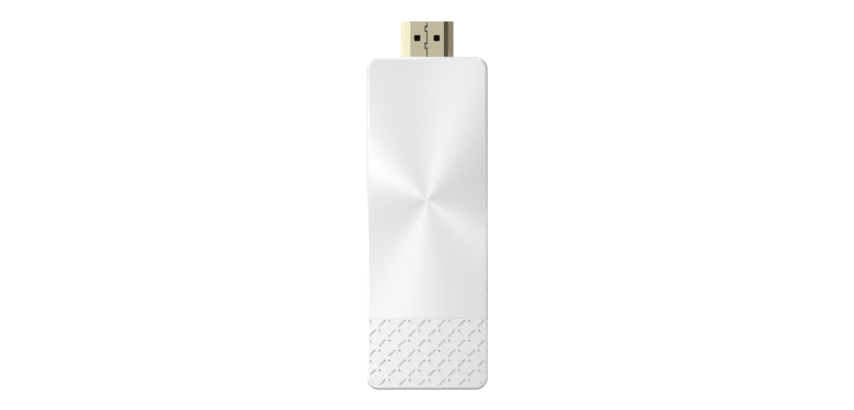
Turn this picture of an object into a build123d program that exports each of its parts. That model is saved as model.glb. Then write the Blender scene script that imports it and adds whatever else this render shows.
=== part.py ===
from build123d import *
import os

# A wireless presentation dongle, in millimetres: a flat stick with a video plug at one end
# and a power inlet at the other. It lies on its back. +Z goes up through the front face,
# +Y points out of the plug, and the origin is on the resting surface, under the middle of
# the whole length from the tail to the tip of the plug.

# Housing, outside
body_width = 31.7
body_length = 86.7
corner_radius = 3.2
front_edge_radius = 0.8
back_edge_radius = 1.2

# Housing, walls and the line where the covers part
side_wall = 1.5
front_wall = 1.7
back_wall = 1.5
parting_chamfer = 0.15
lip_thickness = 0.7
lip_depth = 0.9
lip_clearance = 0.05

# Heights inside, from the back cover's floor upwards
board_standoff = 3.8
board_thickness = 1.0
board_headroom = 4.5

# Snap beads along the two long sides
snap_count = 2
snap_pitch = 44.0
snap_length = 6.0
snap_reach = 0.25
snap_height = 0.6
snap_flat = 0.1
snap_clearance = 0.05

# Spun fascia, a cap glued over the front cover from the lattice to the nose
fascia_thickness = 0.5
fascia_skirt_width = 0.95
fascia_skirt_depth = 1.2
fascia_seam = 0.02
fascia_skirt_gap = 0.1
adhesive_thickness = 0.1
adhesive_inset = 0.8
adhesive_corner = 1.2

# Engraved lattice at the tail of the front cover
lattice_zone = 18.6
lattice_half_diagonal = 2.585
groove_length = 2.4
groove_width = 0.48
groove_depth = 0.35
lattice_side_margin = 1.05
lattice_tail_margin = 1.3

# Stiffening ribs behind the lattice
rib_thickness = 0.8
rib_height = 0.6
rib_pitch = 4.0
rib_end_gap = 2.0

# Vents in the back cover
vent_count = 8
vent_length = 12.0
vent_width = 1.2
vent_pitch = 2.6
vent_corner = 0.3
vent_from_nose = 34.0

# Main board
board_clearance = 0.3
board_corner = 1.0
notch_clearance = 0.25

# Board screws and the bosses that they go into
screw_inset = 2.4
nose_screw_from_nose = 12.0
tail_screw_from_tail = 21.0
screw_shank = 1.5
screw_length = 4.0
screw_head = 2.8
screw_head_height = 0.8
screw_slot_width = 0.4
screw_slot_length = 1.8
screw_slot_depth = 0.45
screw_hole_clearance = 0.15
pilot_clearance = 0.02
pilot_end_gap = 0.3
boss_diameter = 3.6

# Ledges in the back cover that carry the board's edges
ledge_width = 1.6
ledge_length = 3.0
ledge_from_nose = 24.0
ledge_from_tail = 34.0

# Cradle in the back cover under the video plug
cradle_width = 10.0
cradle_thickness = 1.2
cradle_from_rear = 1.6
cradle_clearance = 0.05

# Video plug: section, wide side down
plug_width = 13.9
plug_height = 4.45
plug_crest_width = 8.77
plug_shoulder_width = 11.2
plug_side_height = 2.4
plug_shoulder_height = 2.8
plug_base_radius = 0.5
plug_side_radius = 0.4
plug_crest_radius = 0.25
plug_shoulder_radius = 0.35
plug_sheet = 0.3
plug_reach = 9.5
plug_inside = 5.5
plug_opening_clearance = 0.12
plug_lead_in = 0.12
slot_mid_height = 1.75

# Video plug: windows, seam and solder wings of its shell
window_size = 1.66
window_corner = 0.22
window_spacing = 5.09
window_from_tip = 4.5
seam_gap = 0.28
seam_tab_reach = 0.5
seam_tab_neck = 1.0
seam_tab_head = 1.4
seam_tab_from_tip = 2.1
seam_tab_pitch = 4.4
wing_reach = 1.8
wing_length = 2.2
wing_from_rear = 0.8

# Video plug: insulator and contacts
plug_fit = 0.05
insulator_recess = 0.4
insulator_overhang = 0.4
insulator_back = 3.0
slot_width = 10.0
slot_height = 1.2
slot_lead_in = 0.12
pocket_depth = 0.6
pocket_margin = 0.1
contact_pitch = 1.0
contact_width = 0.4
contact_thickness = 0.2
contact_lift = 0.2
contact_ramp = 0.9
contact_slope = 4.0
contact_recess = 0.5
contact_tail = 1.8
wide_row_count = 10
narrow_row_count = 9
channel_clearance = 0.02
channel_relief = 0.25
board_to_plug = 0.2

# Power inlet: section, narrow side down
inlet_width = 7.5
inlet_height = 2.55
inlet_base_width = 5.4
inlet_slant_height = 1.0
inlet_radius = 0.35
inlet_sheet = 0.25
inlet_length = 5.2
inlet_recess = 0.4
inlet_opening_clearance = 0.2
inlet_opening_bevel = 0.35
inlet_fit = 0.04
inlet_back = 1.4
tongue_width = 3.9
tongue_thickness = 0.6
tongue_drop = 0.45
tongue_recess = 0.8
inlet_contact_pitch = 0.65
inlet_contact_width = 0.25
inlet_contact_thickness = 0.12
inlet_contact_count = 5
inlet_contact_tail = 1.0
inlet_wing_reach = 1.2
inlet_wing_length = 1.6
inlet_wing_height = 1.3

# Processor under its shield
shield_width = 17.0
shield_length = 19.0
shield_height = 2.4
shield_sheet = 0.2
shield_corner = 0.6
shield_lift = 0.1
shield_fit = 0.03
shield_frame_height = 1.6
shield_frame_sheet = 0.2
shield_frame_flange = 1.2
shield_from_nose = 12.0
shield_hole_length = 1.6
shield_hole_height = 0.6
shield_hole_count = 3
shield_hole_pitch = 5.0
processor_size = 13.0
processor_thickness = 1.2
processor_base = 0.5
processor_rim = 0.8
processor_draft = 8
processor_pad_inset = 0.8

# Heat spreader, staked to the front cover
spreader_thickness = 0.8
spreader_side_gap = 0.9
spreader_end_gap = 0.6
spreader_corner = 1.2
spreader_pad_size = 14.0
stake_diameter = 1.4
stake_clearance = 0.05
stake_head = 2.4
stake_head_height = 0.4
stake_inset = 1.8

# Small parts on the top of the board, in rows from the plug towards the tail
surge_length = 2.4
surge_width = 1.2
surge_height = 0.6
surge_count = 3
surge_pitch = 3.2
surge_gap = 1.4
coil_size = 3.6
coil_height = 1.8
coil_corner = 0.5
coil_count = 3
coil_pitch = 5.2
coil_gap = 2.4
capacitor_length = 1.6
capacitor_width = 0.8
capacitor_height = 0.8
capacitor_columns = 6
capacitor_rows = 2
capacitor_pitch = 3.0
capacitor_row_pitch = 2.2
capacitor_gap = 1.6
regulator_size = 3.0
regulator_height = 0.8
regulator_count = 2
regulator_pitch = 6.0
regulator_gap = 1.6
crystal_length = 3.2
crystal_width = 2.5
crystal_height = 0.7
crystal_corner = 0.4
crystal_gap = 2.0
chip_edge_break = 0.1

# Parts on the underside of the board
memory_width = 9.0
memory_length = 12.0
memory_height = 1.1
memory_gap = 2.0
flash_width = 11.5
flash_length = 13.0
flash_height = 1.0
flash_gap = 3.0
radio_width = 14.0
radio_length = 13.0
radio_board_thickness = 0.6
radio_shield_height = 1.6
radio_shield_sheet = 0.2
radio_shield_margin = 0.6
radio_shield_corner = 0.5
radio_chip_size = 7.0
radio_chip_height = 0.9
radio_pad_size = 10.0
radio_from_tail = 10.0

# Aerials at the tail corners of the board
aerial_sheet = 0.3
aerial_height = 3.4
aerial_length = 8.0
aerial_width = 4.6
aerial_cut_width = 0.8
aerial_cut_length = 5.6
aerial_leg_width = 1.2
aerial_foot = 0.9
aerial_side_gap = 0.9
aerial_end_gap = 0.7
aerial_leg_inset = 0.4

# Mode button in its finger dish
button_from_tail = 31.0
button_length = 6.0
button_height = 2.2
button_below_side = 0.05
button_edge_bevel = 0.2
button_clearance = 0.1
button_flange_margin = 0.3
button_flange = 0.7
button_seat_gap = 0.05
button_travel = 0.25
button_post = 1.3
dish_radius = 5.0
dish_depth = 0.5
dish_straight = 4.0

# Side-push switch behind the button
switch_length = 6.0
switch_depth = 3.6
switch_height = 3.2
switch_wall = 0.4
switch_sheet = 0.2
switch_frame_grip = 1.6
switch_leg_width = 0.9
switch_leg_reach = 0.7
plunger_length = 2.6
plunger_height = 1.3
plunger_reach = 0.9
plunger_clearance = 0.06
plunger_flange = 0.4
plunger_flange_margin = 0.35
plunger_seat_gap = 0.02
dome_diameter = 2.2
dome_crown = 1.0
dome_leg_width = 0.8
dome_sheet = 0.1
dome_pressed_rise = 0.2

# Status light beside the button
light_from_button = 7.0
guide_diameter = 1.6
guide_clearance = 0.05
guide_flange = 2.4
guide_flange_thickness = 0.5
guide_below_side = 0.05
lamp_width = 1.6
lamp_depth = 1.2
lamp_height = 1.9
lamp_gap = 0.15
lamp_lens_width = 1.1
lamp_lens_height = 0.9
lamp_lens_rise = 0.12

# Places that follow from the sizes above
overall_length = body_length + plug_reach
tail_y = -overall_length / 2
nose_y = tail_y + body_length
tip_y = nose_y + plug_reach
middle_y = (tail_y + nose_y) / 2
side_x = body_width / 2
inner_side_x = side_x - side_wall
inner_tail_y = tail_y + side_wall
inner_nose_y = nose_y - side_wall

board_bottom_z = back_wall + board_standoff
board_top_z = board_bottom_z + board_thickness
board_middle_z = board_bottom_z + board_thickness / 2
ceiling_z = board_top_z + board_headroom
body_thickness = ceiling_z + front_wall
parting_z = board_bottom_z
seat_z = body_thickness - fascia_thickness - adhesive_thickness
fascia_skirt_z = body_thickness - fascia_skirt_depth

board_side_x = inner_side_x - board_clearance
board_tail_y = inner_tail_y + board_clearance
board_nose_y = inner_nose_y - board_clearance
lattice_top_y = tail_y + lattice_zone

plug_bottom_z = board_middle_z - slot_mid_height
plug_top_z = plug_bottom_z + plug_height
plug_rear_y = nose_y - plug_inside
insulator_rear_y = plug_rear_y - insulator_overhang
notch_end_y = insulator_rear_y - board_to_plug
contact_end_y = notch_end_y - contact_tail
slot_floor_y = insulator_rear_y + insulator_back
slot_mouth_y = tip_y - insulator_recess
contact_front_y = slot_mouth_y - contact_recess

screw_x = board_side_x - screw_inset
nose_screw_y = nose_y - nose_screw_from_nose
tail_screw_y = tail_y + tail_screw_from_tail
screw_places = [(-screw_x, nose_screw_y), (screw_x, tail_screw_y)]

spreader_bottom_z = ceiling_z - spreader_thickness
spreader_side_x = inner_side_x - spreader_side_gap
spreader_tail_y = lattice_top_y + spreader_end_gap
spreader_nose_y = inner_nose_y - spreader_end_gap
spreader_middle_y = (spreader_tail_y + spreader_nose_y) / 2
stake_places = [
    (0, spreader_tail_y + stake_inset),
    (0, spreader_nose_y - stake_inset),
]

shield_y = nose_y - shield_from_nose - shield_length / 2
surge_y = contact_end_y - surge_gap - surge_width / 2
coil_y = shield_y - shield_length / 2 - coil_gap - coil_size / 2
capacitor_y = (
    coil_y
    - coil_size / 2
    - capacitor_gap
    - capacitor_length / 2
    - (capacitor_rows - 1) * capacitor_row_pitch / 2
)
regulator_y = (
    capacitor_y
    - (capacitor_rows - 1) * capacitor_row_pitch / 2
    - capacitor_length / 2
    - regulator_gap
    - regulator_size / 2
)
crystal_y = regulator_y - regulator_size / 2 - crystal_gap - crystal_width / 2
flash_y = shield_y - memory_length / 2 - flash_gap - flash_length / 2
radio_y = tail_y + radio_from_tail + radio_length / 2
radio_board_z = board_bottom_z - radio_board_thickness
radio_shield_z = radio_board_z - radio_shield_height

button_y = tail_y + button_from_tail
button_z = board_top_z + switch_height / 2
dish_floor_x = side_x - dish_depth
button_flange_x = inner_side_x - button_seat_gap
button_back_x = button_flange_x - button_flange
light_y = button_y + light_from_button
guide_back_x = inner_side_x - guide_flange_thickness
switch_front_x = board_side_x - switch_leg_reach - plunger_reach
plunger_tip_x = switch_front_x + plunger_reach
dome_rise = button_travel + dome_pressed_rise

os.makedirs("parts", exist_ok=True)


def save(part, name):
    """Label a finished piece and write it under its name."""
    part.label = name
    export_step(part, f"parts/{name}.step")


def body_outline(inset):
    """The housing's outline, with every side moved inwards by inset."""
    with BuildSketch() as outline:
        with Locations((0, middle_y)):
            RectangleRounded(
                body_width - 2 * inset, body_length - 2 * inset, corner_radius - inset
            )
    return outline.sketch


def fascia_outline(inset):
    """The housing's outline from the lattice to the nose, its outer sides moved by inset."""
    with BuildSketch() as outline:
        add(body_outline(inset))
        with Locations((0, lattice_top_y)):
            Rectangle(
                2 * body_width,
                body_length,
                align=(Align.CENTER, Align.MIN),
                mode=Mode.INTERSECT,
            )
    return outline.sketch


def plug_section(inset):
    """The video plug's section across Y, with every side moved inwards by inset."""
    half_width = plug_width / 2
    half_shoulder = plug_shoulder_width / 2
    half_crest = plug_crest_width / 2
    with BuildSketch() as section:
        with BuildLine():
            Polyline(
                (-half_width, plug_bottom_z),
                (half_width, plug_bottom_z),
                (half_width, plug_bottom_z + plug_side_height),
                (half_shoulder, plug_bottom_z + plug_shoulder_height),
                (half_crest, plug_top_z),
                (-half_crest, plug_top_z),
                (-half_shoulder, plug_bottom_z + plug_shoulder_height),
                (-half_width, plug_bottom_z + plug_side_height),
                close=True,
            )
        make_face()
        corners = section.vertices().group_by(Axis.Y)
        fillet(corners[0], plug_base_radius)
        fillet(corners[1], plug_side_radius)
        fillet(corners[2], plug_shoulder_radius)
        fillet(corners[3], plug_crest_radius)
        if inset:
            offset(amount=-inset)
    return section.sketch


def inlet_section(inset):
    """The power inlet's section across Y, with every side moved inwards by inset."""
    half_width = inlet_width / 2
    half_base = inlet_base_width / 2
    top_z = board_top_z + inlet_height
    with BuildSketch() as section:
        with BuildLine():
            Polyline(
                (-half_base, board_top_z),
                (half_base, board_top_z),
                (half_width, board_top_z + inlet_slant_height),
                (half_width, top_z),
                (-half_width, top_z),
                (-half_width, board_top_z + inlet_slant_height),
                close=True,
            )
        make_face()
        fillet(section.vertices(), inlet_radius)
        if inset:
            offset(amount=-inset)
    return section.sketch


def across_y(y):
    """A plane whose sketch lies across the dongle at y, and extrudes towards the tail."""
    return Plane.XZ.offset(-y)


def across_x(x):
    """A plane whose sketch lies along the dongle at x, and extrudes towards +X."""
    return Plane.YZ.offset(x)


def lattice_grooves():
    """The short grooves on the sides of the lattice's diamonds, inside their border."""
    half = lattice_half_diagonal
    columns = int(body_width / half) + 2
    rows = int(lattice_zone / half) + 1
    slots = []
    for row in range(rows):
        for column in range(-columns, columns):
            lean = 45 if (row + column) % 2 else -45
            place = ((column + 0.5) * half, lattice_top_y - (row + 0.5) * half)
            slots.append(Location(place, lean))
    with BuildSketch() as grooves:
        with Locations((0, middle_y)):
            RectangleRounded(
                body_width - 2 * lattice_side_margin,
                body_length - 2 * lattice_tail_margin,
                corner_radius - lattice_side_margin,
            )
        with BuildSketch(mode=Mode.INTERSECT):
            with Locations(*slots):
                Rectangle(groove_length, groove_width)
    return grooves.sketch


def snap_section(grow):
    """The snap beads' section on both sides of the lip, made larger all round by grow."""
    lip_face_x = inner_side_x + lip_thickness
    snap_z = parting_z - lip_depth / 2
    with BuildSketch() as section:
        for side in (-1, 1):
            with BuildLine():
                Polyline(
                    (side * (lip_face_x - lip_thickness / 2), snap_z - snap_height / 2 - grow),
                    (side * lip_face_x, snap_z - snap_height / 2 - grow),
                    (side * (lip_face_x + snap_reach + grow), snap_z - snap_flat / 2),
                    (side * (lip_face_x + snap_reach + grow), snap_z + snap_flat / 2),
                    (side * lip_face_x, snap_z + snap_height / 2 + grow),
                    (side * (lip_face_x - lip_thickness / 2), snap_z + snap_height / 2 + grow),
                    close=True,
                )
            make_face()
    return section.sketch


def snap_places():
    """The end of each snap bead that is nearer the plug, in Y."""
    for place in range(snap_count):
        yield middle_y + (place - (snap_count - 1) / 2) * snap_pitch + snap_length / 2


def blunt_rectangle(width, length, corner):
    """A rectangle with its corners cut off by corner, about the origin."""
    with BuildSketch() as outline:
        Rectangle(width, length)
        chamfer(outline.vertices(), corner)
    return outline.sketch


def finger_dish():
    """A long round-ended dish, sunk into the side around the mode button."""
    centre_x = dish_floor_x + dish_radius
    dish_length = dish_straight + 2 * dish_radius
    with BuildPart() as dish:
        with BuildSketch(across_x(centre_x)):
            with Locations((button_y, button_z)):
                SlotOverall(dish_length, 2 * dish_radius)
                Rectangle(
                    dish_length, dish_radius, align=(Align.CENTER, Align.MIN), mode=Mode.INTERSECT
                )
        revolve(axis=Axis((centre_x, button_y, button_z), (0, 1, 0)))
    return dish.part


def pill(length, height):
    """A round-ended outline, long in Y, about the mode button's axis."""
    with BuildSketch() as outline:
        with Locations((button_y, button_z)):
            SlotOverall(length, height)
    return outline.sketch


with BuildPart() as front_cover:
    with BuildSketch(Plane.XY.offset(parting_z)):
        add(body_outline(0))
    extrude(amount=body_thickness - parting_z)
    fillet(front_cover.faces().sort_by(Axis.Z)[-1].edges(), front_edge_radius)
    chamfer(front_cover.faces().sort_by(Axis.Z)[0].edges(), parting_chamfer)
    with BuildSketch(Plane.XY.offset(parting_z)):
        add(body_outline(side_wall))
    extrude(amount=ceiling_z - parting_z, mode=Mode.SUBTRACT)

    # Lip that drops inside the back cover's wall, with the beads that snap it down
    with BuildSketch(Plane.XY.offset(parting_z)):
        add(body_outline(side_wall - lip_thickness))
        add(body_outline(side_wall), mode=Mode.SUBTRACT)
    extrude(amount=-lip_depth)
    for bead_y in snap_places():
        with BuildSketch(across_y(bead_y)):
            add(snap_section(0))
        extrude(amount=snap_length)

    # Ribs behind the lattice
    rib_zone = spreader_tail_y - inner_tail_y
    with BuildSketch(Plane.XY.offset(ceiling_z)):
        with Locations((0, inner_tail_y + rib_zone / 2)):
            with GridLocations(1, rib_pitch, 1, int(rib_zone / rib_pitch)):
                Rectangle(2 * (inner_side_x - rib_end_gap), rib_thickness)
    extrude(amount=-rib_height)

    # Stakes, melted over the heat spreader
    with BuildSketch(Plane.XY.offset(ceiling_z)):
        with Locations(*stake_places):
            Circle(stake_diameter / 2)
    extrude(amount=-spreader_thickness)
    with BuildSketch(Plane.XY.offset(spreader_bottom_z)):
        with Locations(*stake_places):
            Circle(stake_head / 2)
    extrude(amount=-stake_head_height)

    # Rebate for the fascia's skirt, plateau that the fascia is glued to, engraved lattice
    with BuildSketch(Plane.XY.offset(fascia_skirt_z - fascia_skirt_gap)):
        add(fascia_outline(-fascia_skirt_width))
        add(fascia_outline(fascia_skirt_width + fascia_seam), mode=Mode.SUBTRACT)
    extrude(amount=fascia_skirt_depth + fascia_skirt_gap, mode=Mode.SUBTRACT)
    with BuildSketch(Plane.XY.offset(seat_z)):
        add(fascia_outline(0))
    extrude(amount=body_thickness - seat_z, mode=Mode.SUBTRACT)
    with BuildSketch(Plane.XY.offset(body_thickness - groove_depth)):
        add(lattice_grooves())
    extrude(amount=groove_depth, mode=Mode.SUBTRACT)

    # Openings for the plug, the inlet, the button and the light guide
    with BuildSketch(across_y(nose_y)):
        add(plug_section(-plug_opening_clearance))
    extrude(amount=side_wall, mode=Mode.SUBTRACT)
    with BuildSketch(across_y(inner_tail_y)):
        add(inlet_section(-inlet_opening_clearance))
    extrude(amount=side_wall, mode=Mode.SUBTRACT)
    inlet_rim = front_cover.faces().sort_by(Axis.Y)[0].inner_wires()[0].edges()
    chamfer(inlet_rim, inlet_opening_bevel)
    add(finger_dish(), mode=Mode.SUBTRACT)
    with BuildSketch(across_x(inner_side_x)):
        add(pill(button_length + 2 * button_clearance, button_height + 2 * button_clearance))
        with Locations((light_y, button_z)):
            Circle(guide_diameter / 2 + guide_clearance)
    extrude(amount=side_wall, mode=Mode.SUBTRACT)
save(front_cover.part, "front_cover")


with BuildPart() as back_cover:
    with BuildSketch():
        add(body_outline(0))
    extrude(amount=parting_z)
    fillet(back_cover.faces().sort_by(Axis.Z)[0].edges(), back_edge_radius)
    chamfer(back_cover.faces().sort_by(Axis.Z)[-1].edges(), parting_chamfer)
    with BuildSketch(Plane.XY.offset(back_wall)):
        add(body_outline(side_wall))
    extrude(amount=parting_z - back_wall, mode=Mode.SUBTRACT)

    # Rebate for the front cover's lip, with grooves for its beads
    with BuildSketch(Plane.XY.offset(parting_z)):
        add(body_outline(side_wall - lip_thickness - lip_clearance))
    extrude(amount=-lip_depth - lip_clearance, mode=Mode.SUBTRACT)
    for bead_y in snap_places():
        with BuildSketch(across_y(bead_y + snap_clearance)):
            add(snap_section(snap_clearance))
        extrude(amount=snap_length + 2 * snap_clearance, mode=Mode.SUBTRACT)

    # Bosses for the board screws, ledges at the board's sides, cradle under the plug
    with BuildSketch(Plane.XY.offset(back_wall)):
        with Locations(*screw_places):
            Circle(boss_diameter / 2)
        for ledge_y in (nose_y - ledge_from_nose, tail_y + ledge_from_tail):
            with Locations((0, ledge_y)):
                with GridLocations(2 * inner_side_x - ledge_width, 1, 2, 1):
                    Rectangle(ledge_width, ledge_length)
    extrude(amount=board_standoff)
    with BuildSketch(Plane.XY.offset(back_wall)):
        with Locations((0, plug_rear_y + cradle_from_rear)):
            Rectangle(cradle_width, cradle_thickness)
    extrude(amount=plug_bottom_z - back_wall - cradle_clearance)
    with BuildSketch(Plane.XY.offset(board_bottom_z)):
        with Locations(*screw_places):
            Circle(screw_shank / 2 + pilot_clearance)
    extrude(amount=board_thickness - screw_length - pilot_end_gap, mode=Mode.SUBTRACT)

    # Vents, and the lower part of the plug's opening
    with BuildSketch():
        with Locations((0, nose_y - vent_from_nose)):
            with GridLocations(1, vent_pitch, 1, vent_count):
                add(blunt_rectangle(vent_length, vent_width, vent_corner))
    extrude(amount=back_wall, mode=Mode.SUBTRACT)
    with BuildSketch(across_y(nose_y)):
        add(plug_section(-plug_opening_clearance))
    extrude(amount=side_wall, mode=Mode.SUBTRACT)
save(back_cover.part, "back_cover")

with BuildPart() as fascia_panel:
    with BuildSketch(Plane.XY.offset(fascia_skirt_z)):
        add(body_outline(0))
    extrude(amount=fascia_skirt_depth)
    fillet(fascia_panel.faces().sort_by(Axis.Z)[-1].edges(), front_edge_radius)
    with BuildSketch(Plane.XY.offset(fascia_skirt_z)):
        with Locations((0, lattice_top_y + fascia_seam)):
            Rectangle(2 * body_width, body_length, align=(Align.CENTER, Align.MAX))
    extrude(amount=fascia_skirt_depth, mode=Mode.SUBTRACT)
    with BuildSketch(Plane.XY.offset(fascia_skirt_z)):
        add(fascia_outline(fascia_skirt_width))
    extrude(amount=fascia_skirt_depth - fascia_thickness, mode=Mode.SUBTRACT)
save(fascia_panel.part, "fascia_panel")

with BuildPart() as fascia_adhesive:
    plateau_nose_y = nose_y - fascia_skirt_width
    with BuildSketch(Plane.XY.offset(seat_z)):
        with Locations((0, (lattice_top_y + plateau_nose_y) / 2)):
            add(
                blunt_rectangle(
                    body_width - 2 * fascia_skirt_width - 2 * adhesive_inset,
                    plateau_nose_y - lattice_top_y - 2 * adhesive_inset,
                    adhesive_corner,
                )
            )
    extrude(amount=adhesive_thickness)
save(fascia_adhesive.part, "fascia_adhesive")

with BuildPart() as main_board:
    board_length = board_nose_y - board_tail_y
    with BuildSketch(Plane.XY.offset(board_bottom_z)):
        with Locations((0, middle_y)):
            add(blunt_rectangle(2 * board_side_x, board_length, board_corner))
        with Locations((0, notch_end_y)):
            Rectangle(
                plug_width + 2 * notch_clearance,
                board_nose_y - notch_end_y,
                align=(Align.CENTER, Align.MIN),
                mode=Mode.SUBTRACT,
            )
        with Locations(*screw_places):
            Circle(screw_shank / 2 + screw_hole_clearance, mode=Mode.SUBTRACT)
    extrude(amount=board_thickness)
save(main_board.part, "main_board")

with BuildPart() as board_screws:
    head_top_z = board_top_z + screw_head_height
    with BuildSketch(Plane.XY.offset(board_top_z - screw_length)):
        with Locations(*screw_places):
            Circle(screw_shank / 2)
    extrude(amount=screw_length)
    with BuildSketch(Plane.XY.offset(board_top_z)):
        with Locations(*screw_places):
            Circle(screw_head / 2)
    extrude(amount=screw_head_height)
    with BuildSketch(Plane.XY.offset(head_top_z)):
        with Locations(*screw_places):
            Rectangle(screw_slot_length, screw_slot_width)
            Rectangle(screw_slot_width, screw_slot_length)
    extrude(amount=-screw_slot_depth, mode=Mode.SUBTRACT)
save(board_screws.part, "board_screws")

with BuildPart() as plug_shell:
    with BuildSketch(across_y(tip_y)):
        add(plug_section(0))
    extrude(amount=tip_y - plug_rear_y)
    chamfer(plug_shell.faces().sort_by(Axis.Y)[-1].edges(), plug_lead_in)

    # Wings that are soldered to the board's ears, beside its notch
    with BuildSketch(Plane.XY.offset(board_top_z)):
        with Locations((0, plug_rear_y + wing_from_rear + wing_length / 2)):
            Rectangle(plug_width + 2 * wing_reach, wing_length)
    extrude(amount=plug_sheet)
    with BuildSketch(across_y(tip_y)):
        add(plug_section(plug_sheet))
    extrude(amount=tip_y - plug_rear_y, mode=Mode.SUBTRACT)

    # Windows in both broad faces
    with BuildSketch(Plane.XY.offset(plug_bottom_z)):
        with Locations((0, tip_y - window_from_tip)):
            with GridLocations(window_spacing, 1, 2, 1):
                add(blunt_rectangle(window_size, window_size, window_corner))
    extrude(amount=plug_height, mode=Mode.SUBTRACT)

    # Seam down the narrow face, where the two edges of the sheet dovetail
    with BuildSketch(Plane.XY.offset(plug_top_z - 2 * plug_sheet)):
        with BuildLine():
            route = [(0, tip_y + seam_gap)]
            for tab in range(int((tip_y - plug_rear_y) / seam_tab_pitch)):
                tab_y = tip_y - seam_tab_from_tip - tab * seam_tab_pitch
                route += [
                    (0, tab_y + seam_tab_neck / 2),
                    (-seam_tab_reach, tab_y + seam_tab_head / 2),
                    (-seam_tab_reach, tab_y - seam_tab_head / 2),
                    (0, tab_y - seam_tab_neck / 2),
                ]
            route.append((0, plug_rear_y - seam_gap))
            Polyline(*route)
        trace(line_width=seam_gap)
    extrude(amount=3 * plug_sheet, mode=Mode.SUBTRACT)
save(plug_shell.part, "plug_shell")


def contact_rows():
    """Each plug contact as its middle in X and its side: 1 above the slot, -1 below it."""
    for side, count in ((1, narrow_row_count), (-1, wide_row_count)):
        for place in range(count):
            yield (place - (count - 1) / 2) * contact_pitch, side


with BuildPart() as plug_insulator:
    channel_width = contact_width + 2 * channel_clearance
    with BuildSketch(across_y(slot_mouth_y)):
        add(plug_section(plug_sheet + plug_fit))
    extrude(amount=slot_mouth_y - insulator_rear_y)
    with BuildSketch(across_y(slot_mouth_y)):
        with Locations((0, board_middle_z)):
            Rectangle(slot_width, slot_height)
    extrude(amount=slot_mouth_y - slot_floor_y, mode=Mode.SUBTRACT)
    mouth = plug_insulator.faces().sort_by(Axis.Y)[-1].inner_wires()[0].edges()
    chamfer(mouth, slot_lead_in)

    # Channels that the contacts lie in, and their ways out through the back
    with BuildSketch(across_y(contact_front_y + channel_clearance)):
        for row_x, side in contact_rows():
            with Locations((row_x, board_middle_z)):
                Rectangle(
                    channel_width,
                    board_thickness / 2 + contact_thickness + channel_relief,
                    align=(Align.CENTER, Align.MIN if side > 0 else Align.MAX),
                )
    extrude(amount=contact_front_y + channel_clearance - slot_floor_y, mode=Mode.SUBTRACT)
    with BuildSketch(across_y(slot_floor_y)):
        for row_x, side in contact_rows():
            with Locations(
                (row_x, board_middle_z + side * (board_thickness + contact_thickness) / 2)
            ):
                Rectangle(channel_width, contact_thickness + 2 * channel_clearance)
    extrude(amount=insulator_back, mode=Mode.SUBTRACT)

    # Pockets behind the shell's windows
    with BuildSketch(Plane.XY.offset(plug_bottom_z)):
        with Locations((0, tip_y - window_from_tip)):
            with GridLocations(window_spacing, 1, 2, 1):
                Rectangle(window_size + 2 * pocket_margin, window_size + 2 * pocket_margin)
    extrude(amount=plug_sheet + plug_fit + pocket_depth, mode=Mode.SUBTRACT)
    with BuildSketch(Plane.XY.offset(plug_top_z)):
        with Locations((0, tip_y - window_from_tip)):
            with GridLocations(window_spacing, 1, 2, 1):
                Rectangle(window_size + 2 * pocket_margin, window_size + 2 * pocket_margin)
    extrude(amount=-plug_sheet - plug_fit - pocket_depth, mode=Mode.SUBTRACT)
save(plug_insulator.part, "plug_insulator")

with BuildPart() as plug_contacts:
    for row_x, side in contact_rows():
        with BuildSketch(across_x(row_x - contact_width / 2)):
            low_z = board_middle_z + side * board_thickness / 2
            high_z = low_z + side * contact_thickness
            bump_y = contact_front_y - contact_ramp
            lift = side * contact_lift
            with BuildLine():
                Polyline(
                    (contact_end_y, low_z),
                    (bump_y - contact_slope, low_z),
                    (bump_y, low_z - lift),
                    (contact_front_y, low_z),
                    (contact_front_y, high_z),
                    (bump_y, high_z - lift),
                    (bump_y - contact_slope, high_z),
                    (contact_end_y, high_z),
                    close=True,
                )
            make_face()
        extrude(amount=contact_width)
save(plug_contacts.part, "plug_contacts")

with BuildPart() as inlet_shell:
    inlet_mouth_y = tail_y + inlet_recess
    inlet_rear_y = inlet_mouth_y + inlet_length
    with BuildSketch(across_y(inlet_rear_y)):
        add(inlet_section(0))
    extrude(amount=inlet_length)

    # Feet that are soldered to the board
    wing_y = inlet_rear_y - inlet_wing_length / 2 - inlet_sheet
    with BuildSketch(Plane.XY.offset(board_top_z)):
        with Locations((0, wing_y)):
            Rectangle(inlet_width + 2 * inlet_wing_reach, inlet_wing_length)
    extrude(amount=inlet_sheet)
    with BuildSketch(Plane.XY.offset(board_top_z)):
        with Locations((0, wing_y)):
            Rectangle(inlet_width, inlet_wing_length)
    extrude(amount=inlet_wing_height)
    with BuildSketch(across_y(inlet_rear_y)):
        add(inlet_section(inlet_sheet))
    extrude(amount=inlet_length, mode=Mode.SUBTRACT)
save(inlet_shell.part, "inlet_shell")


def inlet_contact_places():
    """The middle of each inlet contact in X."""
    for place in range(inlet_contact_count):
        yield (place - (inlet_contact_count - 1) / 2) * inlet_contact_pitch


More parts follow.
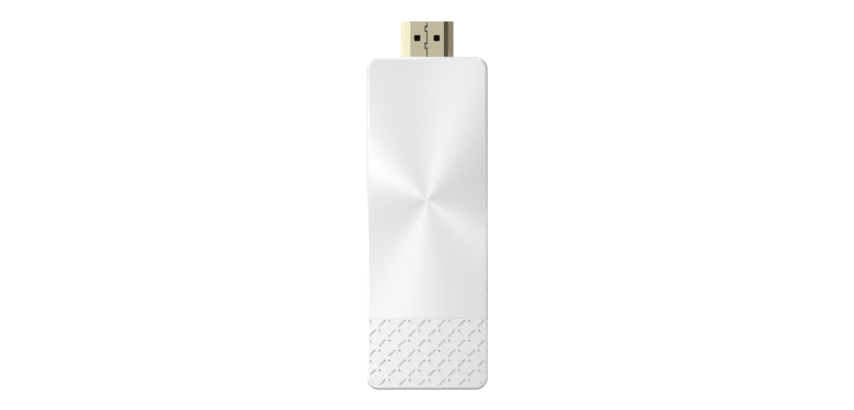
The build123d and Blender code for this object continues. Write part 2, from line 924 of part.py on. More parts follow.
with BuildPart() as inlet_insulator:
    block_front_y = inlet_rear_y - inlet_back
    tongue_top_z = board_top_z + inlet_height - inlet_sheet - tongue_drop
    tongue_bottom_z = tongue_top_z - tongue_thickness
    with BuildSketch(across_y(inlet_rear_y)):
        add(inlet_section(inlet_sheet + inlet_fit))
    extrude(amount=inlet_back)
    with BuildSketch(across_y(block_front_y)):
        with Locations((0, tongue_top_z)):
            Rectangle(tongue_width, tongue_thickness, align=(Align.CENTER, Align.MAX))
    extrude(amount=block_front_y - inlet_mouth_y - tongue_recess)
    chamfer(
        inlet_insulator.faces().sort_by(Axis.Y)[0].edges(), inlet_contact_thickness
    )
    with BuildSketch(across_y(inlet_rear_y)):
        for contact_x in inlet_contact_places():
            with Locations((contact_x, tongue_bottom_z)):
                Rectangle(
                    inlet_contact_width + 2 * channel_clearance,
                    inlet_contact_thickness + channel_clearance,
                    align=(Align.CENTER, Align.MAX),
                )
    extrude(amount=inlet_back, mode=Mode.SUBTRACT)
save(inlet_insulator.part, "inlet_insulator")

with BuildPart() as inlet_contacts:
    contact_mouth_y = inlet_mouth_y + 2 * tongue_recess
    bend_y = inlet_rear_y + inlet_contact_thickness
    for contact_x in inlet_contact_places():
        with BuildSketch(across_x(contact_x - inlet_contact_width / 2)):
            with BuildLine():
                Polyline(
                    (contact_mouth_y, tongue_bottom_z),
                    (bend_y + inlet_contact_thickness, tongue_bottom_z),
                    (bend_y + inlet_contact_thickness, board_top_z + inlet_contact_thickness),
                    (bend_y + inlet_contact_tail, board_top_z + inlet_contact_thickness),
                    (bend_y + inlet_contact_tail, board_top_z),
                    (bend_y, board_top_z),
                    (bend_y, tongue_bottom_z - inlet_contact_thickness),
                    (contact_mouth_y, tongue_bottom_z - inlet_contact_thickness),
                    close=True,
                )
            make_face()
        extrude(amount=inlet_contact_width)
save(inlet_contacts.part, "inlet_contacts")

with BuildPart() as processor:
    with BuildSketch(Plane.XY.offset(board_top_z)):
        with Locations((0, shield_y)):
            Rectangle(processor_size, processor_size)
    extrude(amount=processor_base)
    with BuildSketch(Plane.XY.offset(board_top_z + processor_base)):
        with Locations((0, shield_y)):
            Rectangle(processor_size - 2 * processor_rim, processor_size - 2 * processor_rim)
    extrude(amount=processor_thickness - processor_base, taper=processor_draft)
save(processor.part, "processor")

with BuildPart() as processor_pad:
    pad_size = processor_size - 2 * processor_rim - 2 * processor_pad_inset
    lid_inner_z = board_top_z + shield_height - shield_sheet
    with BuildSketch(Plane.XY.offset(board_top_z + processor_thickness)):
        with Locations((0, shield_y)):
            Rectangle(pad_size, pad_size)
    extrude(amount=lid_inner_z - board_top_z - processor_thickness)
save(processor_pad.part, "processor_pad")

with BuildPart() as shield_frame:
    frame_width = shield_width - 2 * shield_sheet - 2 * shield_fit
    frame_length = shield_length - 2 * shield_sheet - 2 * shield_fit
    frame_corner = shield_corner - shield_sheet - shield_fit
    with BuildSketch(Plane.XY.offset(board_top_z)):
        with Locations((0, shield_y)):
            add(blunt_rectangle(frame_width, frame_length, frame_corner))
    extrude(amount=shield_frame_height)
    with BuildSketch(Plane.XY.offset(board_top_z)):
        with Locations((0, shield_y)):
            Rectangle(
                frame_width - 2 * shield_frame_sheet, frame_length - 2 * shield_frame_sheet
            )
    extrude(amount=shield_frame_height - shield_frame_sheet, mode=Mode.SUBTRACT)
    with BuildSketch(Plane.XY.offset(board_top_z)):
        with Locations((0, shield_y)):
            Rectangle(
                frame_width - 2 * shield_frame_flange, frame_length - 2 * shield_frame_flange
            )
    extrude(amount=shield_frame_height, mode=Mode.SUBTRACT)
save(shield_frame.part, "shield_frame")

with BuildPart() as shield_lid:
    with BuildSketch(Plane.XY.offset(board_top_z + shield_lift)):
        with Locations((0, shield_y)):
            add(blunt_rectangle(shield_width, shield_length, shield_corner))
    extrude(amount=shield_height - shield_lift)
    chamfer(shield_lid.faces().sort_by(Axis.Z)[-1].edges(), shield_sheet / 2)
    with BuildSketch(Plane.XY.offset(board_top_z + shield_lift)):
        with Locations((0, shield_y)):
            add(
                blunt_rectangle(
                    shield_width - 2 * shield_sheet,
                    shield_length - 2 * shield_sheet,
                    shield_corner - shield_sheet,
                )
            )
    extrude(amount=shield_height - shield_lift - shield_sheet, mode=Mode.SUBTRACT)
    with BuildSketch(across_x(-shield_width / 2)):
        with Locations((shield_y, board_top_z + shield_frame_height / 2)):
            with GridLocations(shield_hole_pitch, 1, shield_hole_count, 1):
                Rectangle(shield_hole_length, shield_hole_height)
    extrude(amount=shield_width, mode=Mode.SUBTRACT)
save(shield_lid.part, "shield_lid")

with BuildPart() as spreader_pad:
    lid_top_z = board_top_z + shield_height
    with BuildSketch(Plane.XY.offset(lid_top_z)):
        with Locations((0, shield_y)):
            Rectangle(spreader_pad_size, spreader_pad_size)
    extrude(amount=spreader_bottom_z - lid_top_z)
save(spreader_pad.part, "spreader_pad")

with BuildPart() as heat_spreader:
    with BuildSketch(Plane.XY.offset(spreader_bottom_z)):
        with Locations((0, spreader_middle_y)):
            add(
                blunt_rectangle(
                    2 * spreader_side_x, spreader_nose_y - spreader_tail_y, spreader_corner
                )
            )
        with Locations(*stake_places):
            Circle(stake_diameter / 2 + stake_clearance, mode=Mode.SUBTRACT)
    extrude(amount=spreader_thickness)
save(heat_spreader.part, "heat_spreader")


def row_of_chips(centre_y, columns, pitch, size, height, rows=1, row_pitch=1.0):
    """Moulded chips in rows across the top of the board, with their upper edges broken."""
    with BuildPart() as chips:
        with BuildSketch(Plane.XY.offset(board_top_z)):
            with Locations((0, centre_y)):
                with GridLocations(pitch, row_pitch, columns, rows):
                    Rectangle(*size)
        extrude(amount=height)
        chamfer(chips.edges().group_by(Axis.Z)[-1], chip_edge_break)
    return chips.part


with BuildPart() as surge_chips:
    add(row_of_chips(surge_y, surge_count, surge_pitch, (surge_length, surge_width), surge_height))
save(surge_chips.part, "surge_chips")

with BuildPart() as capacitors:
    add(
        row_of_chips(
            capacitor_y,
            capacitor_columns,
            capacitor_pitch,
            (capacitor_width, capacitor_length),
            capacitor_height,
            capacitor_rows,
            capacitor_row_pitch,
        )
    )
save(capacitors.part, "capacitors")

with BuildPart() as regulators:
    add(
        row_of_chips(
            regulator_y,
            regulator_count,
            regulator_pitch,
            (regulator_size, regulator_size),
            regulator_height,
        )
    )
save(regulators.part, "regulators")

with BuildPart() as power_coils:
    with BuildSketch(Plane.XY.offset(board_top_z)):
        with Locations((0, coil_y)):
            with GridLocations(coil_pitch, 1, coil_count, 1):
                add(blunt_rectangle(coil_size, coil_size, coil_corner))
    extrude(amount=coil_height)
    chamfer(power_coils.edges().group_by(Axis.Z)[-1], chip_edge_break)
save(power_coils.part, "power_coils")

with BuildPart() as crystal:
    with BuildSketch(Plane.XY.offset(board_top_z)):
        with Locations((0, crystal_y)):
            add(blunt_rectangle(crystal_length, crystal_width, crystal_corner))
    extrude(amount=crystal_height)
    chamfer(crystal.edges().group_by(Axis.Z)[-1], chip_edge_break)
save(crystal.part, "crystal")

with BuildPart() as memory_chips:
    with BuildSketch(Plane.XY.offset(board_bottom_z)):
        with Locations((0, shield_y)):
            with GridLocations(memory_width + memory_gap, 1, 2, 1):
                Rectangle(memory_width, memory_length)
    extrude(amount=-memory_height)
    chamfer(memory_chips.edges().group_by(Axis.Z)[0], chip_edge_break)
save(memory_chips.part, "memory_chips")

with BuildPart() as flash_chip:
    with BuildSketch(Plane.XY.offset(board_bottom_z)):
        with Locations((0, flash_y)):
            Rectangle(flash_width, flash_length)
    extrude(amount=-flash_height)
    chamfer(flash_chip.edges().group_by(Axis.Z)[0], chip_edge_break)
save(flash_chip.part, "flash_chip")

with BuildPart() as radio_board:
    with BuildSketch(Plane.XY.offset(board_bottom_z)):
        with Locations((0, radio_y)):
            Rectangle(radio_width, radio_length)
    extrude(amount=-radio_board_thickness)
save(radio_board.part, "radio_board")

with BuildPart() as radio_chip:
    with BuildSketch(Plane.XY.offset(radio_board_z)):
        with Locations((0, radio_y)):
            Rectangle(radio_chip_size, radio_chip_size)
    extrude(amount=-radio_chip_height)
    chamfer(radio_chip.edges().group_by(Axis.Z)[0], chip_edge_break)
save(radio_chip.part, "radio_chip")

with BuildPart() as radio_shield:
    can_width = radio_width - 2 * radio_shield_margin
    can_length = radio_length - 2 * radio_shield_margin
    with BuildSketch(Plane.XY.offset(radio_board_z)):
        with Locations((0, radio_y)):
            add(blunt_rectangle(can_width, can_length, radio_shield_corner))
    extrude(amount=-radio_shield_height)
    chamfer(radio_shield.faces().sort_by(Axis.Z)[0].edges(), radio_shield_sheet / 2)
    with BuildSketch(Plane.XY.offset(radio_board_z)):
        with Locations((0, radio_y)):
            add(
                blunt_rectangle(
                    can_width - 2 * radio_shield_sheet,
                    can_length - 2 * radio_shield_sheet,
                    radio_shield_corner - radio_shield_sheet,
                )
            )
    extrude(amount=radio_shield_sheet - radio_shield_height, mode=Mode.SUBTRACT)
save(radio_shield.part, "radio_shield")

with BuildPart() as radio_pad:
    with BuildSketch(Plane.XY.offset(back_wall)):
        with Locations((0, radio_y)):
            Rectangle(radio_pad_size, radio_pad_size)
    extrude(amount=radio_shield_z - back_wall)
save(radio_pad.part, "radio_pad")

with BuildPart() as aerials:
    aerial_x = board_side_x - aerial_side_gap - aerial_width / 2
    aerial_y = board_tail_y + aerial_end_gap + aerial_length / 2
    aerial_nose_y = aerial_y + aerial_length / 2
    aerial_top_z = board_top_z + aerial_height
    for side in (-1, 1):
        outer_x = side * (aerial_x + aerial_width / 2)
        with BuildSketch(Plane.XY.offset(aerial_top_z)):
            with Locations((side * aerial_x, aerial_y)):
                Rectangle(aerial_width, aerial_length)
            with Locations((side * aerial_x, aerial_nose_y - aerial_length + aerial_cut_width)):
                Rectangle(
                    aerial_cut_width,
                    aerial_cut_length,
                    align=(Align.CENTER, Align.MIN),
                    mode=Mode.SUBTRACT,
                )
        extrude(amount=-aerial_sheet)

        # Legs folded down from the outer edge, one to ground and one to feed it
        legs_y = (aerial_nose_y - aerial_leg_inset - aerial_leg_width / 2, aerial_y)
        for leg_y in legs_y:
            with BuildSketch(Plane.XY.offset(aerial_top_z)):
                with Locations((outer_x, leg_y)):
                    Rectangle(
                        aerial_sheet,
                        aerial_leg_width,
                        align=(Align.MAX if side > 0 else Align.MIN, Align.CENTER),
                    )
            extrude(amount=-aerial_height)
            with BuildSketch(Plane.XY.offset(board_top_z)):
                with Locations((outer_x, leg_y)):
                    Rectangle(
                        aerial_foot,
                        aerial_leg_width,
                        align=(Align.MAX if side > 0 else Align.MIN, Align.CENTER),
                    )
            extrude(amount=aerial_sheet)
save(aerials.part, "aerials")

with BuildPart() as mode_button:
    cap_face_x = side_x - button_below_side
    with BuildSketch(across_x(button_flange_x)):
        add(pill(button_length, button_height))
    extrude(amount=cap_face_x - button_flange_x)
    chamfer(mode_button.faces().sort_by(Axis.X)[-1].edges(), button_edge_bevel)
    flange_margin = 2 * (button_clearance + button_flange_margin)
    with BuildSketch(across_x(button_flange_x)):
        with Locations((button_y, button_z)):
            Rectangle(button_length + flange_margin, button_height + flange_margin)
    extrude(amount=-button_flange)
    with BuildSketch(across_x(button_back_x)):
        with Locations((button_y, button_z)):
            Rectangle(button_post, button_post)
    extrude(amount=plunger_tip_x - button_back_x)
save(mode_button.part, "mode_button")

with BuildPart() as switch_plunger:
    plunger_back_x = switch_front_x - switch_sheet - plunger_seat_gap - plunger_flange
    with BuildSketch(across_x(plunger_back_x)):
        with Locations((button_y, button_z)):
            Rectangle(
                plunger_length + 2 * plunger_flange_margin,
                plunger_height + 2 * plunger_flange_margin,
            )
    extrude(amount=plunger_flange)
    with BuildSketch(across_x(plunger_back_x)):
        with Locations((button_y, button_z)):
            Rectangle(plunger_length, plunger_height)
    extrude(amount=plunger_tip_x - plunger_back_x)
save(switch_plunger.part, "switch_plunger")

with BuildPart() as switch_body:
    body_front_x = switch_front_x - switch_sheet
    cavity_floor_x = plunger_back_x - dome_rise
    body_top_z = board_top_z + switch_height - switch_sheet
    with BuildSketch(Plane.XY.offset(board_top_z)):
        with Locations((body_front_x, button_y)):
            Rectangle(
                switch_depth - switch_sheet, switch_length, align=(Align.MAX, Align.CENTER)
            )
    extrude(amount=switch_height - switch_sheet)
    with BuildSketch(across_x(cavity_floor_x)):
        with Locations((button_y, button_z)):
            Rectangle(
                switch_length - 2 * switch_wall, switch_height - 2 * switch_sheet - 2 * switch_wall
            )
    extrude(amount=body_front_x - cavity_floor_x, mode=Mode.SUBTRACT)
save(switch_body.part, "switch_body")

with BuildPart() as switch_frame:
    with BuildSketch(across_x(switch_front_x)):
        with Locations((button_y, board_top_z)):
            Rectangle(switch_length, switch_height, align=(Align.CENTER, Align.MIN))
        with Locations((button_y, button_z)):
            Rectangle(
                plunger_length + 2 * plunger_clearance,
                plunger_height + 2 * plunger_clearance,
                mode=Mode.SUBTRACT,
            )
    extrude(amount=-switch_sheet)
    with BuildSketch(Plane.XY.offset(body_top_z)):
        with Locations((switch_front_x, button_y)):
            Rectangle(switch_frame_grip, switch_length, align=(Align.MAX, Align.CENTER))
    extrude(amount=switch_sheet)

    # Feet that are soldered to the board in front of the switch
    with BuildSketch(Plane.XY.offset(board_top_z)):
        with Locations((switch_front_x, button_y)):
            with GridLocations(1, switch_length - switch_leg_width, 1, 2):
                Rectangle(switch_leg_reach, switch_leg_width, align=(Align.MIN, Align.CENTER))
    extrude(amount=switch_sheet)
save(switch_frame.part, "switch_frame")

with BuildPart() as switch_dome:
    for leg_side in ((0, 0, 1), (0, 1, 0)):
        dome_plane = Plane((cavity_floor_x, button_y, button_z), x_dir=(1, 0, 0), z_dir=leg_side)
        with BuildSketch(dome_plane):
            with BuildLine():
                Polyline(
                    (0, dome_diameter / 2),
                    (dome_rise, dome_crown / 2),
                    (dome_rise, -dome_crown / 2),
                    (0, -dome_diameter / 2),
                    (0, dome_sheet - dome_diameter / 2),
                    (dome_rise - dome_sheet, dome_sheet / 2 - dome_crown / 2),
                    (dome_rise - dome_sheet, dome_crown / 2 - dome_sheet / 2),
                    (0, dome_diameter / 2 - dome_sheet),
                    close=True,
                )
            make_face()
        extrude(amount=dome_leg_width / 2, both=True)
save(switch_dome.part, "switch_dome")

with BuildPart() as status_lamp:
    lens_x = guide_back_x - lamp_gap
    lamp_face_x = lens_x - lamp_lens_rise
    with BuildSketch(Plane.XY.offset(board_top_z)):
        with Locations((lamp_face_x, light_y)):
            Rectangle(lamp_depth, lamp_width, align=(Align.MAX, Align.CENTER))
    extrude(amount=lamp_height)
    with BuildSketch(across_x(lamp_face_x)):
        with Locations((light_y, board_top_z + lamp_height / 2)):
            Rectangle(lamp_lens_width, lamp_lens_height)
    extrude(amount=lamp_lens_rise)
save(status_lamp.part, "status_lamp")

with BuildPart() as light_guide:
    with BuildSketch(across_x(guide_back_x)):
        with Locations((light_y, button_z)):
            Rectangle(guide_flange, guide_flange)
    extrude(amount=guide_flange_thickness)
    with BuildSketch(across_x(guide_back_x)):
        with Locations((light_y, button_z)):
            Circle(guide_diameter / 2)
    extrude(amount=side_x - guide_below_side - guide_back_x)
save(light_guide.part, "light_guide")
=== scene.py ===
import logging
import math
from dataclasses import dataclass
from enum import Enum
from typing import Any

import bpy
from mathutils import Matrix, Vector


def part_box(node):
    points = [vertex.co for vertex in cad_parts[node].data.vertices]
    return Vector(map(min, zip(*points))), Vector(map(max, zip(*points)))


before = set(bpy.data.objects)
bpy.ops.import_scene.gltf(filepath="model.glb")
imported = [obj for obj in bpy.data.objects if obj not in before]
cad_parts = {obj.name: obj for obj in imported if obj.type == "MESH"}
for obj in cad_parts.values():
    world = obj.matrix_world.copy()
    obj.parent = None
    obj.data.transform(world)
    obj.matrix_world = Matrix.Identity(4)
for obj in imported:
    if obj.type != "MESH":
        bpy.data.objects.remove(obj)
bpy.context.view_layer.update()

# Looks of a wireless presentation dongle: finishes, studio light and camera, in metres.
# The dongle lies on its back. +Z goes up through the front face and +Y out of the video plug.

LOG = logging.getLogger("dongle")

MILLIMETRE = 0.001
PHOTO_WIDTH = 854

# The sRGB curve: straight up to the knee, and a power curve above it.
SRGB_TOP = 255
SRGB_KNEE = 0.04045
SRGB_SLOPE = 12.92
SRGB_OFFSET = 0.055
SRGB_POWER = 2.4

# A Mix node has sockets for every type of data, told apart only by their numbers.
MIX_FACTOR = 0
MIX_VALUE_A = 2
MIX_VALUE_B = 3
MIX_COLOUR_A = 6
MIX_COLOUR_B = 7
MIX_VALUE_OUT = 0
MIX_COLOUR_OUT = 2

# Finer layers in a noise, and rays that look for an edge nearby.
SOFT_DETAIL = 2.0
FINE_DETAIL = 3.0
EDGE_RAYS = 4

# Metres from band to band in a wave texture of scale one.
WAVE_PERIOD = math.tau / 20

# What a lamp's watts are spread over: all round from a spot, a cosine lobe from a softbox.
ALL_ROUND = 4 * math.pi
COSINE_LOBE = math.pi


def linear(colour: str) -> tuple[float, float, float, float]:
    """Turn an sRGB hex colour into a linear one.

    Args:
        colour: Six hex digits with a leading hash, such as "#E9E9EA".

    Returns:
        Linear red, green and blue, and an alpha of one.
    """
    channels = [int(colour[place : place + 2], 16) / SRGB_TOP for place in (1, 3, 5)]
    red, green, blue = (
        value / SRGB_SLOPE
        if value <= SRGB_KNEE
        else ((value + SRGB_OFFSET) / (1 + SRGB_OFFSET)) ** SRGB_POWER
        for value in channels
    )
    return red, green, blue, 1.0


def per_metre(size_mm: float) -> float:
    """Turn a pattern's real size in millimetres into the scale of a texture in metres."""
    return 1 / (size_mm * MILLIMETRE)


def add_node(
    tree: bpy.types.NodeTree,
    kind: str,
    inputs: dict[str | int, Any] | None = None,
    **settings: Any,
) -> bpy.types.Node:
    """Add a node with its settings, values and links.

    Args:
        tree: The node tree that gets the node.
        kind: The node's type, such as "ShaderNodeMath".
        inputs: A value or another node's output socket for each input, by name or number.
        settings: The node's own settings, such as operation="ADD".

    Returns:
        The new node.
    """
    node = tree.nodes.new(kind)
    for name, value in settings.items():
        setattr(node, name, value)
    for place, value in (inputs or {}).items():
        if isinstance(value, bpy.types.NodeSocket):
            tree.links.new(value, node.inputs[place])
        else:
            node.inputs[place].default_value = value
    return node


def place_on_piece(tree: bpy.types.NodeTree) -> bpy.types.NodeSocket:
    """Add the coordinates that a pattern is laid out in, fixed to the piece, in metres."""
    return add_node(tree, "ShaderNodeTexCoord").outputs["Object"]


@dataclass(frozen=True)
class Finish:
    """A surface finish, named for the real material and how it was made."""

    name: str

    def surface(self, tree: bpy.types.NodeTree) -> bpy.types.NodeSocket:
        """Add the finish's nodes to a tree.

        Args:
            tree: The empty node tree of the material.

        Returns:
            The output of the shader that the nodes end in.
        """
        raise NotImplementedError

    def material(self) -> bpy.types.Material:
        """Build the finish's material, once.

        Returns:
            The material, which all pieces with this finish share.
        """
        material = bpy.data.materials.get(self.name)
        if material is None:
            material = bpy.data.materials.new(self.name)
            material.use_nodes = True
            tree = material.node_tree
            tree.nodes.clear()
            add_node(tree, "ShaderNodeOutputMaterial", {"Surface": self.surface(tree)})
        return material


def dress(finish: Finish, *names: str) -> None:
    """Give CAD pieces a finish.

    Args:
        finish: The finish that they get.
        names: The pieces' names in the frame.
    """
    material = finish.material()
    for name in names:
        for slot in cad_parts[name].material_slots:
            slot.material = material
        LOG.info("%s is dressed in %s", name, finish.name)


@dataclass(frozen=True)
class Moulded(Finish):
    """A moulded, cast or fired body: its own colour, clouded a little, under a faint gloss."""

    colour: str
    shade: str
    roughness: float
    index: float = 1.5
    gloss: float = 0.5
    roughness_swing: float = 0.04
    grit_mm: float = 0.3
    relief_mm: float = 0.002
    relief_strength: float = 0.5
    cloud_mm: float = 14.0
    edge_mm: float = 0.06

    def surface(self, tree: bpy.types.NodeTree) -> bpy.types.NodeSocket:
        """Add the body's nodes to a tree.

        Args:
            tree: The empty node tree of the material.

        Returns:
            The shader's output.
        """
        place = place_on_piece(tree)
        cloud = add_node(
            tree,
            "ShaderNodeTexNoise",
            {"Vector": place, "Scale": per_metre(self.cloud_mm), "Detail": SOFT_DETAIL},
        )
        tint = add_node(
            tree,
            "ShaderNodeMix",
            {
                MIX_FACTOR: cloud.outputs["Fac"],
                MIX_COLOUR_A: linear(self.shade),
                MIX_COLOUR_B: linear(self.colour),
            },
            data_type="RGBA",
        )
        grit = add_node(
            tree,
            "ShaderNodeTexNoise",
            {"Vector": place, "Scale": per_metre(self.grit_mm), "Detail": FINE_DETAIL},
        )
        roughness = add_node(
            tree,
            "ShaderNodeMapRange",
            {
                "Value": grit.outputs["Fac"],
                "To Min": self.roughness - self.roughness_swing,
                "To Max": self.roughness + self.roughness_swing,
            },
        )
        soft_edge = add_node(
            tree, "ShaderNodeBevel", {"Radius": self.edge_mm * MILLIMETRE}, samples=EDGE_RAYS
        )
        relief = add_node(
            tree,
            "ShaderNodeBump",
            {
                "Strength": self.relief_strength,
                "Distance": self.relief_mm * MILLIMETRE,
                "Height": grit.outputs["Fac"],
                "Normal": soft_edge.outputs["Normal"],
            },
        )
        shader = add_node(
            tree,
            "ShaderNodeBsdfPrincipled",
            {
                "Base Color": tint.outputs[MIX_COLOUR_OUT],
                "Roughness": roughness.outputs["Result"],
                "IOR": self.index,
                "Specular IOR Level": self.gloss,
                "Normal": relief.outputs["Normal"],
            },
        )
        return shader.outputs["BSDF"]


class Grain(Enum):
    """How a sheet's fine marks lie, as how far they are drawn out along the dongle."""

    PRESSED = 1.0
    ROLLED = 12.0


@dataclass(frozen=True)
class SheetMetal(Finish):
    """A bare or plated metal: all its colour is in what it mirrors."""

    colour: str
    shade: str
    roughness: float
    grain: Grain = Grain.PRESSED
    roughness_swing: float = 0.03
    grain_mm: float = 0.4
    relief_mm: float = 0.0008
    relief_strength: float = 0.3
    edge_mm: float = 0.05

    def surface(self, tree: bpy.types.NodeTree) -> bpy.types.NodeSocket:
        """Add the metal's nodes to a tree.

        Args:
            tree: The empty node tree of the material.

        Returns:
            The shader's output.
        """
        drawn = add_node(
            tree,
            "ShaderNodeMapping",
            {"Vector": place_on_piece(tree), "Scale": (1.0, 1.0 / self.grain.value, 1.0)},
        )
        grain = add_node(
            tree,
            "ShaderNodeTexNoise",
            {
                "Vector": drawn.outputs["Vector"],
                "Scale": per_metre(self.grain_mm),
                "Detail": FINE_DETAIL,
            },
        )
        tint = add_node(
            tree,
            "ShaderNodeMix",
            {
                MIX_FACTOR: grain.outputs["Fac"],
                MIX_COLOUR_A: linear(self.shade),
                MIX_COLOUR_B: linear(self.colour),
            },
            data_type="RGBA",
        )
        roughness = add_node(
            tree,
            "ShaderNodeMapRange",
            {
                "Value": grain.outputs["Fac"],
                "To Min": self.roughness - self.roughness_swing,
                "To Max": self.roughness + self.roughness_swing,
            },
        )
        soft_edge = add_node(
            tree, "ShaderNodeBevel", {"Radius": self.edge_mm * MILLIMETRE}, samples=EDGE_RAYS
        )
        relief = add_node(
            tree,
            "ShaderNodeBump",
            {
                "Strength": self.relief_strength,
                "Distance": self.relief_mm * MILLIMETRE,
                "Height": grain.outputs["Fac"],
                "Normal": soft_edge.outputs["Normal"],
            },
        )
        shader = add_node(
            tree,
            "ShaderNodeBsdfPrincipled",
            {
                "Base Color": tint.outputs[MIX_COLOUR_OUT],
                "Metallic": 1.0,
                "Roughness": roughness.outputs["Result"],
                "Normal": relief.outputs["Normal"],
            },
        )
        return shader.outputs["BSDF"]


@dataclass(frozen=True)
class SpunLacquer(Finish):
    """Pale lacquer over metal that was turned on a lathe, so light fans out from its middle."""

    colour: str
    shade: str
    metallic: float
    roughness: float
    anisotropy: float
    turning_mm: float
    relief_mm: float
    centre: tuple[float, float]
    relief_strength: float = 0.2

    def surface(self, tree: bpy.types.NodeTree) -> bpy.types.NodeSocket:
        """Add the spun finish's nodes to a tree.

        Args:
            tree: The empty node tree of the material.

        Returns:
            The shader's output.
        """
        arm = add_node(
            tree,
            "ShaderNodeVectorMath",
            {0: place_on_piece(tree), 1: (*self.centre, 0.0)},
            operation="SUBTRACT",
        )
        flat_arm = add_node(
            tree,
            "ShaderNodeVectorMath",
            {0: arm.outputs["Vector"], 1: (1.0, 1.0, 0.0)},
            operation="MULTIPLY",
        )
        radius = add_node(
            tree,
            "ShaderNodeVectorMath",
            {0: flat_arm.outputs["Vector"]},
            operation="LENGTH",
        )
        outward = add_node(
            tree,
            "ShaderNodeVectorMath",
            {0: flat_arm.outputs["Vector"]},
            operation="NORMALIZE",
        )
        turning = add_node(
            tree,
            "ShaderNodeTexNoise",
            {
                "W": radius.outputs["Value"],
                "Scale": per_metre(self.turning_mm),
                "Detail": SOFT_DETAIL,
            },
            noise_dimensions="1D",
        )
        tint = add_node(
            tree,
            "ShaderNodeMix",
            {
                MIX_FACTOR: turning.outputs["Fac"],
                MIX_COLOUR_A: linear(self.shade),
                MIX_COLOUR_B: linear(self.colour),
            },
            data_type="RGBA",
        )
        relief = add_node(
            tree,
            "ShaderNodeBump",
            {
                "Strength": self.relief_strength,
                "Distance": self.relief_mm * MILLIMETRE,
                "Height": turning.outputs["Fac"],
            },
        )
        shader = add_node(
            tree,
            "ShaderNodeBsdfPrincipled",
            {
                "Base Color": tint.outputs[MIX_COLOUR_OUT],
                "Metallic": self.metallic,
                "Roughness": self.roughness,
                "Anisotropic": self.anisotropy,
                "Tangent": outward.outputs["Vector"],
                "Normal": relief.outputs["Normal"],
            },
        )
        return shader.outputs["BSDF"]


@dataclass(frozen=True)
class CircuitLaminate(Finish):
    """Glass-fibre board under solder mask, with copper tracks that show as paler ridges."""

    mask: str = "#14532F"
    over_track: str = "#1F7040"
    roughness: float = 0.35
    index: float = 1.52
    track_mm: float = 0.5
    bus_mm: float = 5.0
    track_height_mm: float = 0.035
    turn_above: float = 0.5
    track_foot: float = 0.55
    track_top: float = 0.7

    def surface(self, tree: bpy.types.NodeTree) -> bpy.types.NodeSocket:
        """Add the board's nodes to a tree.

        Args:
            tree: The empty node tree of the material.

        Returns:
            The shader's output.
        """
        place = place_on_piece(tree)
        along, across = (
            add_node(
                tree,
                "ShaderNodeTexWave",
                {"Vector": place, "Scale": per_metre(self.track_mm) * WAVE_PERIOD},
                bands_direction=direction,
            )
            for direction in ("X", "Y")
        )
        bus = add_node(
            tree,
            "ShaderNodeTexVoronoi",
            {"Vector": place, "Scale": per_metre(self.bus_mm)},
            distance="CHEBYCHEV",
        )
        choice = add_node(
            tree,
            "ShaderNodeMath",
            {0: bus.outputs["Color"], 1: self.turn_above},
            operation="GREATER_THAN",
        )
        tracks = add_node(
            tree,
            "ShaderNodeMix",
            {
                MIX_FACTOR: choice.outputs["Value"],
                MIX_VALUE_A: along.outputs["Fac"],
                MIX_VALUE_B: across.outputs["Fac"],
            },
            data_type="FLOAT",
        )
        edge = add_node(
            tree,
            "ShaderNodeMapRange",
            {
                "Value": tracks.outputs[MIX_VALUE_OUT],
                "From Min": self.track_foot,
                "From Max": self.track_top,
            },
        )
        tint = add_node(
            tree,
            "ShaderNodeMix",
            {
                MIX_FACTOR: edge.outputs["Result"],
                MIX_COLOUR_A: linear(self.mask),
                MIX_COLOUR_B: linear(self.over_track),
            },
            data_type="RGBA",
        )
        relief = add_node(
            tree,
            "ShaderNodeBump",
            {
                "Distance": self.track_height_mm * MILLIMETRE,
                "Height": edge.outputs["Result"],
            },
        )
        shader = add_node(
            tree,
            "ShaderNodeBsdfPrincipled",
            {
                "Base Color": tint.outputs[MIX_COLOUR_OUT],
                "Roughness": self.roughness,
                "IOR": self.index,
                "Normal": relief.outputs["Normal"],
            },
        )
        return shader.outputs["BSDF"]


